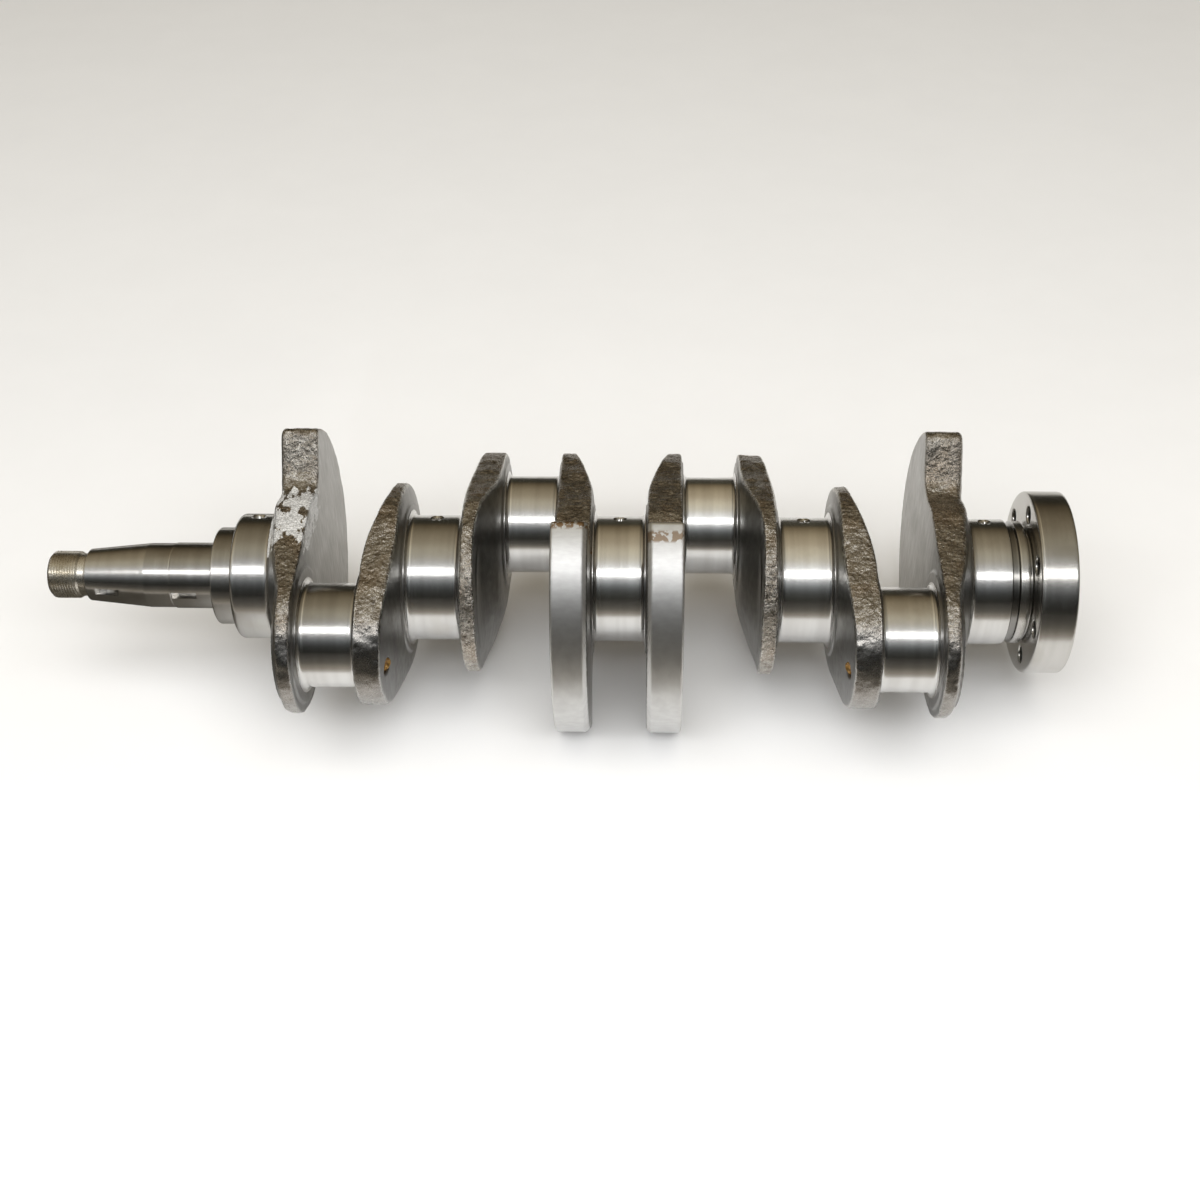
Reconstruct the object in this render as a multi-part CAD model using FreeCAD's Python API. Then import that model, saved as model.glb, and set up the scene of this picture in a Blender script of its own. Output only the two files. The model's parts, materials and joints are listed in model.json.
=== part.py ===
import FreeCAD, Part
import math
import os

# Crankshaft of an in-line four-cylinder engine with five main bearings.
#
# Frame: the origin is the centre of the flywheel face, on the rotation axis.
# +X runs from the threaded nose to the flange, so the whole shaft lies at -X.
# +Z is up. The crank throws lie in the XY plane: crankpins 1 and 4 are on the
# -Y side, crankpins 2 and 3 on the +Y side. All sizes are in millimetres.
#
# The forging is written as its functional sections, which meet face to face:
# the nose, the journals, the webs and the flange. The four oil plugs and the
# pilot bearing pressed into the flange are separate pieces.

# ---------------------------------------------------------------- journals
throw = 51.0
bore_pitch = 103.0
main_diameter = 71.0
pin_diameter = 57.0
pin_length = 31.0
end_main_length = 22.5
inner_main_length = 30.0
centre_main_length = 29.0

# -------------------------------------------------------------------- webs
end_web_width = 22.5
pad_height = 1.0
main_pad_radius = 42.0
pin_pad_radius = 37.0
plain_web_radius = 53.0
counterweight_web_radius = 48.0
pin_end_radius = 42.0
slim_pin_end_radius = 37.0
fan_half_angle = 59.0
end_fan_radius = 84.5
centre_fan_radius = 87.0
centre_fan_chamfer = 2.6
# The cheeks fall away as cones: on the main side about the main axis, and on
# the pin side of the plain webs about the pin axis. Each is a start radius,
# a fall per millimetre of radius and the greatest fall.
plain_main_bevel = (50.0, 0.15, 7.0)
plain_pin_bevel = (52.0, 0.30, 9.5)
end_main_bevel = (42.0, 0.40, 12.0)
centre_main_bevel = (50.0, 0.36, 12.0)

# -------------------------------------------------------- nose, front end
thread_diameter = 27.0
thread_length = 17.0
thread_chamfer = 1.6
thread_relief_diameter = 24.4
thread_relief_length = 3.5
taper_lead_length = 1.6
taper_small_diameter = 29.5
taper_large_diameter = 36.0
taper_length = 32.0
timing_seat_diameter = 36.6
timing_seat_length = 17.2
gear_seat_diameter = 37.4
gear_seat_length = 25.3
seal_collar_diameter = 55.0
seal_collar_length = 12.5
edge_chamfer = 0.8
centre_drill_diameter = 8.0

key_width = 4.0
woodruff_cutter_diameter = 19.0
woodruff_depth = 3.1
gear_key_length = 14.5
gear_key_depth = 3.4

# --------------------------------------------------------- flange, rear end
oil_groove_diameter = 66.0
oil_groove_length = 4.5
seal_land_diameter = 69.5
seal_land_length = 5.0
flange_neck_diameter = 64.0
flange_neck_length = 2.4
flange_diameter = 102.5
flange_thickness = 20.3
flange_edge_chamfer = 1.2
bolt_circle_diameter = 82.0
bolt_hole_diameter = 10.0
bolt_count = 7

# ------------------------------------------------------------ oil drillings
drilling_diameter = 6.0
plug_diameter = 8.0
plug_length = 4.0
plug_recess = 1.2
plug_throw = 76.0
main_feed_angle = 20.0
pin_feed_angle = 38.0

# ------------------------------------------- pilot bearing, 17 x 40 x 12 mm
bearing_bore = 17.0
bearing_outside = 40.0
bearing_width = 12.0
bearing_recess = 2.0
pilot_tail_diameter = 30.0
pilot_tail_depth = 6.0
outer_ring_inside = 34.4
inner_ring_outside = 22.6
ball_diameter = 6.75
ball_count = 8
ball_pitch_diameter = 28.5
race_conformity = 1.04
race_clearance = 0.04
cage_thickness = 1.2
cage_pocket_clearance = 0.12
shield_thickness = 0.5
shield_inside = 23.6
shield_inset = 0.6
ring_chamfer = 0.6

# ----------------------------------------------------------------- stations
# Axial positions, worked forward from the flywheel face at x = 0.
flange_front_x = -flange_thickness
seal_land_rear_x = flange_front_x - flange_neck_length
seal_land_front_x = seal_land_rear_x - seal_land_length
rear_main_end_x = seal_land_front_x - oil_groove_length
last_web_x = rear_main_end_x - end_main_length
centre_x = last_web_x - end_web_width - pin_length / 2 - 1.5 * bore_pitch
front_main_end_x = centre_x - (rear_main_end_x - centre_x)
seal_collar_x = front_main_end_x - seal_collar_length
gear_seat_x = seal_collar_x - gear_seat_length
timing_seat_x = gear_seat_x - timing_seat_length
taper_x = timing_seat_x - taper_length
taper_lead_x = taper_x - taper_lead_length
relief_x = taper_lead_x - thread_relief_length
nose_x = relief_x - thread_length

x_axis = FreeCAD.Vector(1, 0, 0)
y_axis = FreeCAD.Vector(0, 1, 0)
z_axis = FreeCAD.Vector(0, 0, 1)
origin = FreeCAD.Vector(0, 0, 0)


def rod(radius, start, end):
    """A solid cylinder between two points."""
    return Part.makeCylinder(radius, (end - start).Length, start, end - start)


def disc(radius, x_start, x_end, y=0.0):
    """A cylinder along X, its axis at height zero and at the given y."""
    return rod(radius, FreeCAD.Vector(x_start, y, 0), FreeCAD.Vector(x_end, y, 0))


def turned(profile):
    """A solid of revolution about X from a closed list of (x, radius) points."""
    points = [FreeCAD.Vector(x, radius, 0) for x, radius in profile]
    outline = Part.makePolygon(points + points[:1])
    return Part.Face(outline).revolve(origin, x_axis, 360)


def polar(radius, angle):
    """A point of the YZ plane, its angle in degrees counted from +Y towards +Z."""
    turn = math.radians(angle)
    return FreeCAD.Vector(0, radius * math.cos(turn), radius * math.sin(turn))


def stretched_disc(main_radius, end_radius):
    """The flat face of a web: a disc about each axis and their common tangents."""
    angle = math.degrees(math.acos((main_radius - end_radius) / throw))
    pin = FreeCAD.Vector(0, throw, 0)
    main_top = polar(main_radius, angle)
    main_bottom = polar(main_radius, -angle)
    end_top = pin + polar(end_radius, angle)
    end_bottom = pin + polar(end_radius, -angle)
    edges = [
        Part.Arc(main_top, polar(main_radius, 180), main_bottom).toShape(),
        Part.LineSegment(main_bottom, end_bottom).toShape(),
        Part.Arc(end_bottom, pin + polar(end_radius, 0), end_top).toShape(),
        Part.LineSegment(end_top, main_top).toShape(),
    ]
    return Part.Face(Part.Wire(edges))


def fan(radius):
    """The flat face of a counterweight: a sector on the side away from the pin."""
    first = polar(radius, 180 - fan_half_angle)
    last = polar(radius, 180 + fan_half_angle)
    edges = [
        Part.LineSegment(origin, first).toShape(),
        Part.Arc(first, polar(radius, 180), last).toShape(),
        Part.LineSegment(last, origin).toShape(),
    ]
    return Part.Face(Part.Wire(edges))


def cone_cutter(x_edge, direction, bevel, y=0.0):
    """What lies outside a conical cheek that starts at x_edge and falls along direction."""
    start_radius, slope, greatest_fall = bevel
    reach = 160.0
    far_x = x_edge - direction * 30.0
    low_x = x_edge + direction * greatest_fall
    cutter = turned([
        (x_edge, start_radius),
        (low_x, start_radius + greatest_fall / slope),
        (low_x, reach),
        (far_x, reach),
        (far_x, start_radius),
    ])
    cutter.translate(FreeCAD.Vector(0, y, 0))
    return cutter


def web(width, end_radius, main_bevel, fan_radius=0.0, fan_start=0.0, fan_chamfer=0.0):
    """A web in its own frame: main side at x = 0, pin side at x = width, pin at +Y."""
    body_start = pad_height
    body_end = width - pad_height
    depth = FreeCAD.Vector(body_end - body_start, 0, 0)
    if fan_radius:
        face = stretched_disc(counterweight_web_radius, end_radius)
    else:
        face = stretched_disc(plain_web_radius, end_radius)
    face.translate(FreeCAD.Vector(body_start, 0, 0))
    body = face.extrude(depth)
    if fan_radius:
        pin_half = Part.makeBox(60, 200, 200, FreeCAD.Vector(-40, 0, -100))
        main_cone = cone_cutter(body_start, 1, main_bevel)
        body = body.cut(main_cone.common(pin_half))
        sector = fan(fan_radius)
        sector.translate(FreeCAD.Vector(fan_start, 0, 0))
        weight = sector.extrude(FreeCAD.Vector(body_end - fan_start, 0, 0))
        rim = (fan_radius - fan_chamfer, 1.0, fan_chamfer + 1)
        if fan_chamfer:
            weight = weight.cut(cone_cutter(fan_start, 1, rim))
        body = body.fuse(weight)
    else:
        body = body.cut(cone_cutter(body_start, 1, main_bevel))
        body = body.cut(cone_cutter(body_end, -1, plain_pin_bevel, throw))
    middle = width / 2
    main_pad = disc(main_pad_radius, 0, middle)
    pin_pad = disc(pin_pad_radius, middle, width, throw)
    return body.fuse([main_pad, pin_pad]).removeSplitter()


def placed_web(shape, main_face_x, pin_is_rearward, pin_y_sign):
    """Turn a web from its own frame into the shaft, with its pin on the given side."""
    if pin_is_rearward and pin_y_sign < 0:
        shape.rotate(origin, x_axis, 180)
    if not pin_is_rearward and pin_y_sign < 0:
        shape.rotate(origin, z_axis, 180)
    if not pin_is_rearward and pin_y_sign > 0:
        shape.rotate(origin, y_axis, 180)
    shape.translate(FreeCAD.Vector(main_face_x, 0, 0))
    return shape


def radial_hole(x, y, angle, radius):
    """A drilling from a journal's axis out through its surface, angle from +Y to +Z."""
    start = FreeCAD.Vector(x, y, 0)
    return rod(drilling_diameter / 2, start, start + polar(radius + 5, angle))


# ------------------------------------------------------- journals and webs
pin_y_signs = [-1, 1, 1, -1]
pin_centres = [centre_x + (number - 1.5) * bore_pitch for number in range(4)]
main_lengths = [
    end_main_length,
    inner_main_length,
    centre_main_length,
    inner_main_length,
    end_main_length,
]
main_centres = [centre_x + (number - 2) * bore_pitch for number in range(5)]
main_centres[0] = front_main_end_x + end_main_length / 2
main_centres[4] = rear_main_end_x - end_main_length / 2

sections = {}
for number in range(5):
    half = main_lengths[number] / 2
    journal = disc(main_diameter / 2, main_centres[number] - half, main_centres[number] + half)
    sections[f"main_journal_{number + 1}"] = journal
for number in range(4):
    half = pin_length / 2
    centre = pin_centres[number]
    pin_y = pin_y_signs[number] * throw
    sections[f"crankpin_{number + 1}"] = disc(pin_diameter / 2, centre - half, centre + half, pin_y)

for number in range(8):
    pin = number // 2
    pin_is_rearward = number % 2 == 0
    main = pin if pin_is_rearward else pin + 1
    side = 1 if pin_is_rearward else -1
    main_face = main_centres[main] + side * main_lengths[main] / 2
    pin_face = pin_centres[pin] - side * pin_length / 2
    width = abs(pin_face - main_face)
    if number in (0, 7):
        shape = web(width, pin_end_radius, end_main_bevel, end_fan_radius)
    elif number in (3, 4):
        shape = web(
            width,
            pin_end_radius,
            centre_main_bevel,
            centre_fan_radius,
            pad_height,
            centre_fan_chamfer,
        )
    elif number in (1, 6):
        shape = web(width, slim_pin_end_radius, plain_main_bevel)
    else:
        shape = web(width, pin_end_radius, plain_main_bevel)
    placed = placed_web(shape, main_face, pin_is_rearward, pin_y_signs[pin])
    sections[f"web_{number + 1}"] = placed

# ----------------------------------------------------------- oil drillings
# Each crankpin is fed from one main journal by a slanted drilling that comes
# out on the cheek of the web beyond the pin, where a plug closes it.
feeds = [(0, 0, 1), (1, 1, 3), (3, 2, 4), (4, 3, 6)]
drillings = []
plug_bores = []
plugs = {}
for order, (main, pin, far_web) in enumerate(feeds):
    side = 1 if pin_centres[pin] > main_centres[main] else -1
    far_main = main + side
    far_face = main_centres[far_main] - side * main_lengths[far_main] / 2
    bevel = centre_main_bevel if far_web in (3, 4) else plain_main_bevel
    fall = pad_height + bevel[1] * (plug_throw - bevel[0])
    mouth = FreeCAD.Vector(far_face - side * fall, pin_y_signs[pin] * plug_throw, 0)
    source = FreeCAD.Vector(main_centres[main], 0, 0)
    along = (mouth - source).normalize()
    plug_top = mouth - along * plug_recess
    plug_bottom = plug_top - along * plug_length
    drillings.append(rod(drilling_diameter / 2, source, mouth))
    plug_bores.append(rod(plug_diameter / 2, plug_bottom, mouth + along * 12))
    plugs[f"oil_plug_{order + 1}"] = rod(plug_diameter / 2, plug_bottom, plug_top)
for centre in main_centres:
    drillings.append(radial_hole(centre, 0, 90 - main_feed_angle, main_diameter / 2))
for pin, centre in enumerate(pin_centres):
    angle = 90 - pin_feed_angle if pin_y_signs[pin] > 0 else 270 - pin_feed_angle
    drillings.append(radial_hole(centre, pin_y_signs[pin] * throw, angle, pin_diameter / 2))
for name in sections:
    sections[name] = sections[name].cut(drillings + plug_bores)

# -------------------------------------------------------------------- nose
thread_radius = thread_diameter / 2
relief_radius = thread_relief_diameter / 2
taper_small_radius = taper_small_diameter / 2
taper_large_radius = taper_large_diameter / 2
timing_radius = timing_seat_diameter / 2
gear_radius = gear_seat_diameter / 2
collar_radius = seal_collar_diameter / 2
centre_drill_radius = centre_drill_diameter / 2

sections["nose_thread"] = turned([
    (nose_x + centre_drill_radius, 0),
    (nose_x, centre_drill_radius),
    (nose_x, thread_radius - thread_chamfer),
    (nose_x + thread_chamfer, thread_radius),
    (relief_x, thread_radius),
    (relief_x + thread_chamfer, relief_radius),
    (taper_lead_x, relief_radius),
    (taper_lead_x, 0),
])
taper = turned([
    (taper_lead_x, 0),
    (taper_lead_x, relief_radius),
    (taper_x, taper_small_radius),
    (timing_seat_x, taper_large_radius),
    (timing_seat_x, timing_radius),
    (gear_seat_x, timing_radius),
    (gear_seat_x, 0),
])
# The taper's key seat is cut by a disc cutter, its axis along Z.
cutter_radius = woodruff_cutter_diameter / 2
seat_middle_x = taper_x + 11.5
seat_radius = taper_small_radius + (taper_large_radius - taper_small_radius) * 11.5 / taper_length
cutter_start = FreeCAD.Vector(
    seat_middle_x, -(seat_radius + cutter_radius - woodruff_depth), -key_width / 2
)
key_seat = Part.makeCylinder(cutter_radius, key_width, cutter_start, z_axis)
sections["nose_taper"] = taper.cut(key_seat)
gear_seat = disc(gear_radius, gear_seat_x, seal_collar_x)
key_corner = FreeCAD.Vector(gear_seat_x, -gear_radius - 5, -key_width / 2)
gear_key = Part.makeBox(gear_key_length, 5 + gear_key_depth, key_width, key_corner)
sections["gear_seat"] = gear_seat.cut(gear_key)
sections["front_seal_collar"] = turned([
    (seal_collar_x, 0),
    (seal_collar_x, collar_radius - edge_chamfer),
    (seal_collar_x + edge_chamfer, collar_radius),
    (front_main_end_x, collar_radius),
    (front_main_end_x, 0),
])

# ------------------------------------------------------------------ flange
sections["rear_seal_land"] = turned([
    (rear_main_end_x, 0),
    (rear_main_end_x, oil_groove_diameter / 2),
    (seal_land_front_x, oil_groove_diameter / 2),
    (seal_land_front_x, seal_land_diameter / 2),
    (seal_land_rear_x, seal_land_diameter / 2),
    (seal_land_rear_x, flange_neck_diameter / 2),
    (flange_front_x, flange_neck_diameter / 2),
    (flange_front_x, 0),
])
bearing_rear_x = -bearing_recess
bearing_front_x = bearing_rear_x - bearing_width
tail_x = bearing_front_x - pilot_tail_depth
flange_radius = flange_diameter / 2
bearing_seat_radius = bearing_outside / 2
flange = turned([
    (flange_front_x, 0),
    (flange_front_x, flange_radius - flange_edge_chamfer),
    (flange_front_x + flange_edge_chamfer, flange_radius),
    (-flange_edge_chamfer, flange_radius),
    (0, flange_radius - flange_edge_chamfer),
    (0, bearing_seat_radius + edge_chamfer),
    (-edge_chamfer, bearing_seat_radius),
    (bearing_front_x, bearing_seat_radius),
    (bearing_front_x, pilot_tail_diameter / 2),
    (tail_x, pilot_tail_diameter / 2),
    (tail_x, 0),
])
bolt_holes = []
for number in range(bolt_count):
    centre = polar(bolt_circle_diameter / 2, 180 + number * 360 / bolt_count)
    start = centre + FreeCAD.Vector(flange_front_x - 1, 0, 0)
    bolt_holes.append(rod(bolt_hole_diameter / 2, start, centre + x_axis))
sections["flywheel_flange"] = flange.cut(bolt_holes)

# ----------------------------------------------------------- pilot bearing
ball_radius = ball_diameter / 2
groove_radius = ball_radius * race_conformity
pitch_radius = ball_pitch_diameter / 2
bearing_middle_x = (bearing_front_x + bearing_rear_x) / 2
outer_groove_centre = pitch_radius + ball_radius + race_clearance - groove_radius
inner_groove_centre = pitch_radius - ball_radius - race_clearance + groove_radius


def race_groove(centre_radius):
    """The torus that grinds a ball race into a ring."""
    middle = FreeCAD.Vector(bearing_middle_x, 0, 0)
    return Part.makeTorus(centre_radius, groove_radius, middle, x_axis)


def bearing_ring(outside, inside):
    """A plain bearing ring with its outer and inner corners chamfered."""
    outer = outside / 2
    inner = inside / 2
    return turned([
        (bearing_front_x, inner + ring_chamfer),
        (bearing_front_x, outer - ring_chamfer),
        (bearing_front_x + ring_chamfer, outer),
        (bearing_rear_x - ring_chamfer, outer),
        (bearing_rear_x, outer - ring_chamfer),
        (bearing_rear_x, inner + ring_chamfer),
        (bearing_rear_x - ring_chamfer, inner),
        (bearing_front_x + ring_chamfer, inner),
    ])


def tube(outside, inside, x_start, x_end):
    """A plain ring between two diameters."""
    return disc(outside / 2, x_start, x_end).cut(disc(inside / 2, x_start - 1, x_end + 1))


outer_ring = bearing_ring(bearing_outside, outer_ring_inside)
sections["pilot_bearing_outer_ring"] = outer_ring.cut(race_groove(outer_groove_centre))
inner_ring = bearing_ring(inner_ring_outside, bearing_bore)
sections["pilot_bearing_inner_ring"] = inner_ring.cut(race_groove(inner_groove_centre))

balls = []
pockets = []
for number in range(ball_count):
    centre = polar(pitch_radius, number * 360 / ball_count)
    centre = centre + FreeCAD.Vector(bearing_middle_x, 0, 0)
    balls.append(Part.makeSphere(ball_radius, centre))
    pockets.append(Part.makeSphere(ball_radius + cage_pocket_clearance, centre))
sections["pilot_bearing_balls"] = Part.makeCompound(balls)
cage_half_width = ball_radius * 1.25
cage = tube(
    ball_pitch_diameter + cage_thickness,
    ball_pitch_diameter - cage_thickness,
    bearing_middle_x - cage_half_width,
    bearing_middle_x + cage_half_width,
)
sections["pilot_bearing_cage"] = cage.cut(pockets)
for name, start in (
    ("pilot_bearing_front_shield", bearing_front_x + shield_inset),
    ("pilot_bearing_rear_shield", bearing_rear_x - shield_inset - shield_thickness),
):
    sections[name] = tube(outer_ring_inside, shield_inside, start, start + shield_thickness)

# ------------------------------------------------------------------ output
sections.update(plugs)
os.makedirs("parts", exist_ok=True)
for name, shape in sections.items():
    if not shape.isValid():
        raise ValueError(name + " is not a valid shape")
    if "balls" not in name and len(shape.Solids) != 1:
        raise ValueError(name + " is not one solid")
    if len(shape.Solids) == 1:
        shape = shape.Solids[0]
    shape.exportStep("parts/" + name + ".step")
print("nose at", round(nose_x, 2), "centre main at", round(centre_x, 2))
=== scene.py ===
import json
import math

import bpy
import numpy as np
from mathutils import Matrix, Vector


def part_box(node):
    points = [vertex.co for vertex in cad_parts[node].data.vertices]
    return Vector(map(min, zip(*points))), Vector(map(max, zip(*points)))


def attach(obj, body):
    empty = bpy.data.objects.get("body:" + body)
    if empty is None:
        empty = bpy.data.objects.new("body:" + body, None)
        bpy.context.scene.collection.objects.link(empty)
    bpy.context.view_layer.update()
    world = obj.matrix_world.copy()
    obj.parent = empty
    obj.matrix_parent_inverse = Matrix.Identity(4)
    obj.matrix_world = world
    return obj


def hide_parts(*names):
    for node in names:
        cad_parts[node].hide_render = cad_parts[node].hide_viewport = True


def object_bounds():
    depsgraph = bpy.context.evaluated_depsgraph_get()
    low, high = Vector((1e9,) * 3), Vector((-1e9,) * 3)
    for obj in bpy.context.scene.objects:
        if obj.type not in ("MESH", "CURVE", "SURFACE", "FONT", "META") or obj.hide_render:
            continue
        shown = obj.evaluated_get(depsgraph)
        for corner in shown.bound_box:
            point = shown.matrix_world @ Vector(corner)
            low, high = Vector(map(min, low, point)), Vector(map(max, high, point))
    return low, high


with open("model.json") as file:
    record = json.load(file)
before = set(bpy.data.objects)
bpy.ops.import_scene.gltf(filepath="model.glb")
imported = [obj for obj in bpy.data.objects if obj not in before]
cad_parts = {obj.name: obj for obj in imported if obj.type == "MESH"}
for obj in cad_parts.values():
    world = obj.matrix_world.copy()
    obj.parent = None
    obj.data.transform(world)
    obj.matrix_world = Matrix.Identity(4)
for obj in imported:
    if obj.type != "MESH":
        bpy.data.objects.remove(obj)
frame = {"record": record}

# A forged four-cylinder crankshaft. Shapes are worked out in millimetres and
# turned into metres when a mesh is made. X runs along the rotation axis, from
# the threaded nose to the flange; the throws lie in the XY plane, Z is up.

MM = 0.001
cad_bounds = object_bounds()

record = frame["record"]
body_of_node = {
    node: body for body, nodes in record["behaviour"]["bodies"].items() for node in nodes
}


# ---------- frame readings
def span(node, axis=0):
    """Where a node starts and ends along an axis, in millimetres."""
    low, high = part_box(node)
    return low[axis] / MM, high[axis] / MM


def middle(node, axis=0):
    """The middle of a node along an axis, in millimetres."""
    low, high = span(node, axis)
    return (low + high) / 2


def radius_of(node):
    """Half of a round node's height, in millimetres."""
    low, high = span(node, 2)
    return (high - low) / 2


THROW = abs(middle("crankpin_1", 1))
MAIN_RADIUS = radius_of("main_journal_1")
PIN_RADIUS = radius_of("crankpin_1")

# Shape of the webs and the flange, in millimetres
PAD_HEIGHT = 1.0
MAIN_PAD_RADIUS = 42.0
PIN_PAD_RADIUS = 37.0
PLAIN_WEB_RADIUS = 53.0
COUNTERWEIGHT_WEB_RADIUS = 48.0
PIN_END_RADIUS = 42.0
SLIM_PIN_END_RADIUS = 37.0
END_FAN_RADIUS = 84.5
CENTRE_FAN_RADIUS = 87.0
FAN_HALF_ANGLE = math.radians(59.0)
PLAIN_MAIN_BEVEL = (50.0, 0.15, 7.0)
PLAIN_PIN_BEVEL = (52.0, 0.30, 9.5)
END_BEVEL = (42.0, 0.40, 12.0)
CENTRE_BEVEL = (50.0, 0.36, 12.0)
DRAFT = 0.04
BOLT_COUNT = 7
BOLT_CIRCLE = 41.0
BOLT_HOLE_RADIUS = 5.0
SEAT_RADIUS, SEAT_DEPTH = 20.0, 14.0
BORE_RADIUS, BORE_DEPTH = 15.0, 20.0
PLUG_THROW = 76.0
PLUG_HOLE_RADIUS = 4.2
RIM_BEVEL = 2.6
NET_STEP = 1.0


# ---------- noise
def lattice_values(i, j, k, seed):
    """A repeatable value from 0 to 1 for each whole-number lattice point."""
    mixed = i * 374761393 + j * 668265263 + k * 2147483647 + seed * 974634777
    mixed = (mixed ^ (mixed >> 13)) * 1274126177
    mixed = mixed ^ (mixed >> 16)
    return (mixed & 0xFFFF) / 65535.0


def smooth_noise(x, y, z, size, seed):
    """Value noise from -1 to 1 whose lumps are about size across."""
    cells = [np.floor(c / size).astype(np.int64) for c in (x, y, z)]
    parts = [c / size - cell for c, cell in zip((x, y, z), cells)]
    eased = [p * p * (3 - 2 * p) for p in parts]
    total = np.zeros(np.shape(x))
    for a in (0, 1):
        for b in (0, 1):
            for c in (0, 1):
                weight = np.ones(np.shape(x))
                for corner, ease in zip((a, b, c), eased):
                    weight = weight * (ease if corner else 1 - ease)
                value = lattice_values(cells[0] + a, cells[1] + b, cells[2] + c, seed)
                total = total + weight * value
    return total * 2 - 1


# ---------- distance fields
def smooth_max(a, b, size):
    """The larger of two distances, with the edge between them rounded off."""
    overlap = np.maximum(size - np.abs(a - b), 0) / size
    return np.maximum(a, b) + overlap * overlap * size / 4


def smooth_min(a, b, size):
    """The smaller of two distances, with the corner between them filled in."""
    return -smooth_max(-a, -b, size)


def blend_step(low, high, value):
    """An eased ramp from 0 at low to 1 at high."""
    share = np.clip((value - low) / (high - low), 0, 1)
    return share * share * (3 - 2 * share)


def hull_distance(t, z, main_radius, end_radius):
    """Distance outside two discs, about the main axis and the pin, and their tangents."""
    across = np.abs(z)
    lean = (main_radius - end_radius) / THROW
    rise = math.sqrt(1 - lean * lean)
    along = -across * lean + t * rise
    near_main = np.hypot(across, t) - main_radius
    near_pin = np.hypot(across, t - THROW) - end_radius
    beside = across * rise + t * lean - main_radius
    return np.where(along < 0, near_main, np.where(along > rise * THROW, near_pin, beside))


def fan_distance(t, z, radius, corner):
    """Distance outside the counterweight's sector, which lies away from the pin."""
    flank = t * math.sin(FAN_HALF_ANGLE) + np.abs(z) * math.cos(FAN_HALF_ANGLE)
    return smooth_max(np.hypot(t, z) - radius, flank, corner)


def cone_fall(distance, bevel):
    """How far a conical cheek has fallen away at a distance from its axis."""
    start, slope, most = bevel
    fall = slope * (distance - start)
    fall = smooth_max(fall, np.zeros(np.shape(fall)), 1.5)
    return smooth_min(fall, np.full(np.shape(fall), most), 2.0)


def surface_nets(field, low, high, step):
    """A closed quad mesh of the surface where the field is zero, negative inside."""
    axes = [np.arange(a, b + step, step) for a, b in zip(low, high)]
    grid = np.meshgrid(*axes, indexing="ij")
    values = field(*grid)
    inside = values < 0
    shape = np.array(values.shape) - 1
    corner_steps = [(a, b, c) for a in (0, 1) for b in (0, 1) for c in (0, 1)]
    count = np.zeros(shape, int)
    for a, b, c in corner_steps:
        count += inside[a:a + shape[0], b:b + shape[1], c:c + shape[2]]
    active = (count > 0) & (count < 8)
    cells = np.argwhere(active)
    total = np.zeros((len(cells), 3))
    hits = np.zeros(len(cells))
    for first in corner_steps:
        for axis in range(3):
            if first[axis]:
                continue
            second = list(first)
            second[axis] = 1
            f0 = values[tuple((cells + first).T)]
            f1 = values[tuple((cells + second).T)]
            crossed = (f0 < 0) != (f1 < 0)
            share = np.where(crossed, f0 / np.where(crossed, f0 - f1, 1), 0)
            point = cells + np.array(first, float)
            point[:, axis] += share
            total += point * crossed[:, None]
            hits += crossed
    points = np.array([a[0] for a in axes]) + total / hits[:, None] * step
    number = np.full(shape, -1)
    number[active] = np.arange(len(cells))
    quads = []
    for axis in range(3):
        others = [k for k in range(3) if k != axis]
        ends = [slice(None)] * 3
        ends[axis] = slice(0, shape[axis])
        starts = inside[tuple(ends)]
        ends[axis] = slice(1, shape[axis] + 1)
        stops = inside[tuple(ends)]
        edges = np.argwhere(starts != stops)
        keep = np.ones(len(edges), bool)
        for k in others:
            keep &= (edges[:, k] > 0) & (edges[:, k] < shape[k])
        edges = edges[keep]
        leaving = starts[tuple(edges.T)]
        if axis == 1:
            leaving = ~leaving
        corners = []
        for da, db in ((0, 0), (1, 0), (1, 1), (0, 1)):
            cell = edges.copy()
            cell[:, others[0]] -= da
            cell[:, others[1]] -= db
            corners.append(number[tuple(cell.T)])
        quad = np.stack(corners, 1)
        quad[~leaving] = quad[~leaving][:, ::-1]
        quads.append(quad)
    for _ in range(2):
        points = settle(field, points, step)
    return points, np.concatenate(quads)


def settle(field, points, step):
    """Move points down the field's slope onto its zero surface, by at most half a step."""
    reach = 0.1 * step
    here = field(*points.T)
    slope = np.zeros(points.shape)
    for axis in range(3):
        ahead = points.copy()
        behind = points.copy()
        ahead[:, axis] += reach
        behind[:, axis] -= reach
        slope[:, axis] = (field(*ahead.T) - field(*behind.T)) / (2 * reach)
    size = np.maximum((slope * slope).sum(1), 0.25)
    move = np.clip(here / size, -0.5 * step, 0.5 * step)
    return points - slope * move[:, None]


# ---------- mesh plumbing
def mesh_object(name, points, faces, sharp_angle=40.0):
    """A mesh object from points in millimetres, smooth except at its sharp edges."""
    mesh = bpy.data.meshes.new(name)
    mesh.from_pydata((np.asarray(points) * MM).tolist(), [], [list(f) for f in faces])
    mesh.validate()
    mesh.update()
    mesh.shade_smooth()
    if sharp_angle:
        mesh.set_sharp_from_angle(angle=math.radians(sharp_angle))
    piece = bpy.data.objects.new(name, mesh)
    bpy.context.scene.collection.objects.link(piece)
    return piece


def stand_for(piece, node, material):
    """Let a piece take a CAD node's place, body and material slot."""
    piece.data.materials.append(material)
    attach(piece, body_of_node[node])
    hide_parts(node)


def store(piece, name, values):
    """Keep one number per point on the mesh, for a material to read."""
    attribute = piece.data.attributes.new(name, "FLOAT", "POINT")
    attribute.data.foreach_set("value", np.asarray(values, np.float32))


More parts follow.
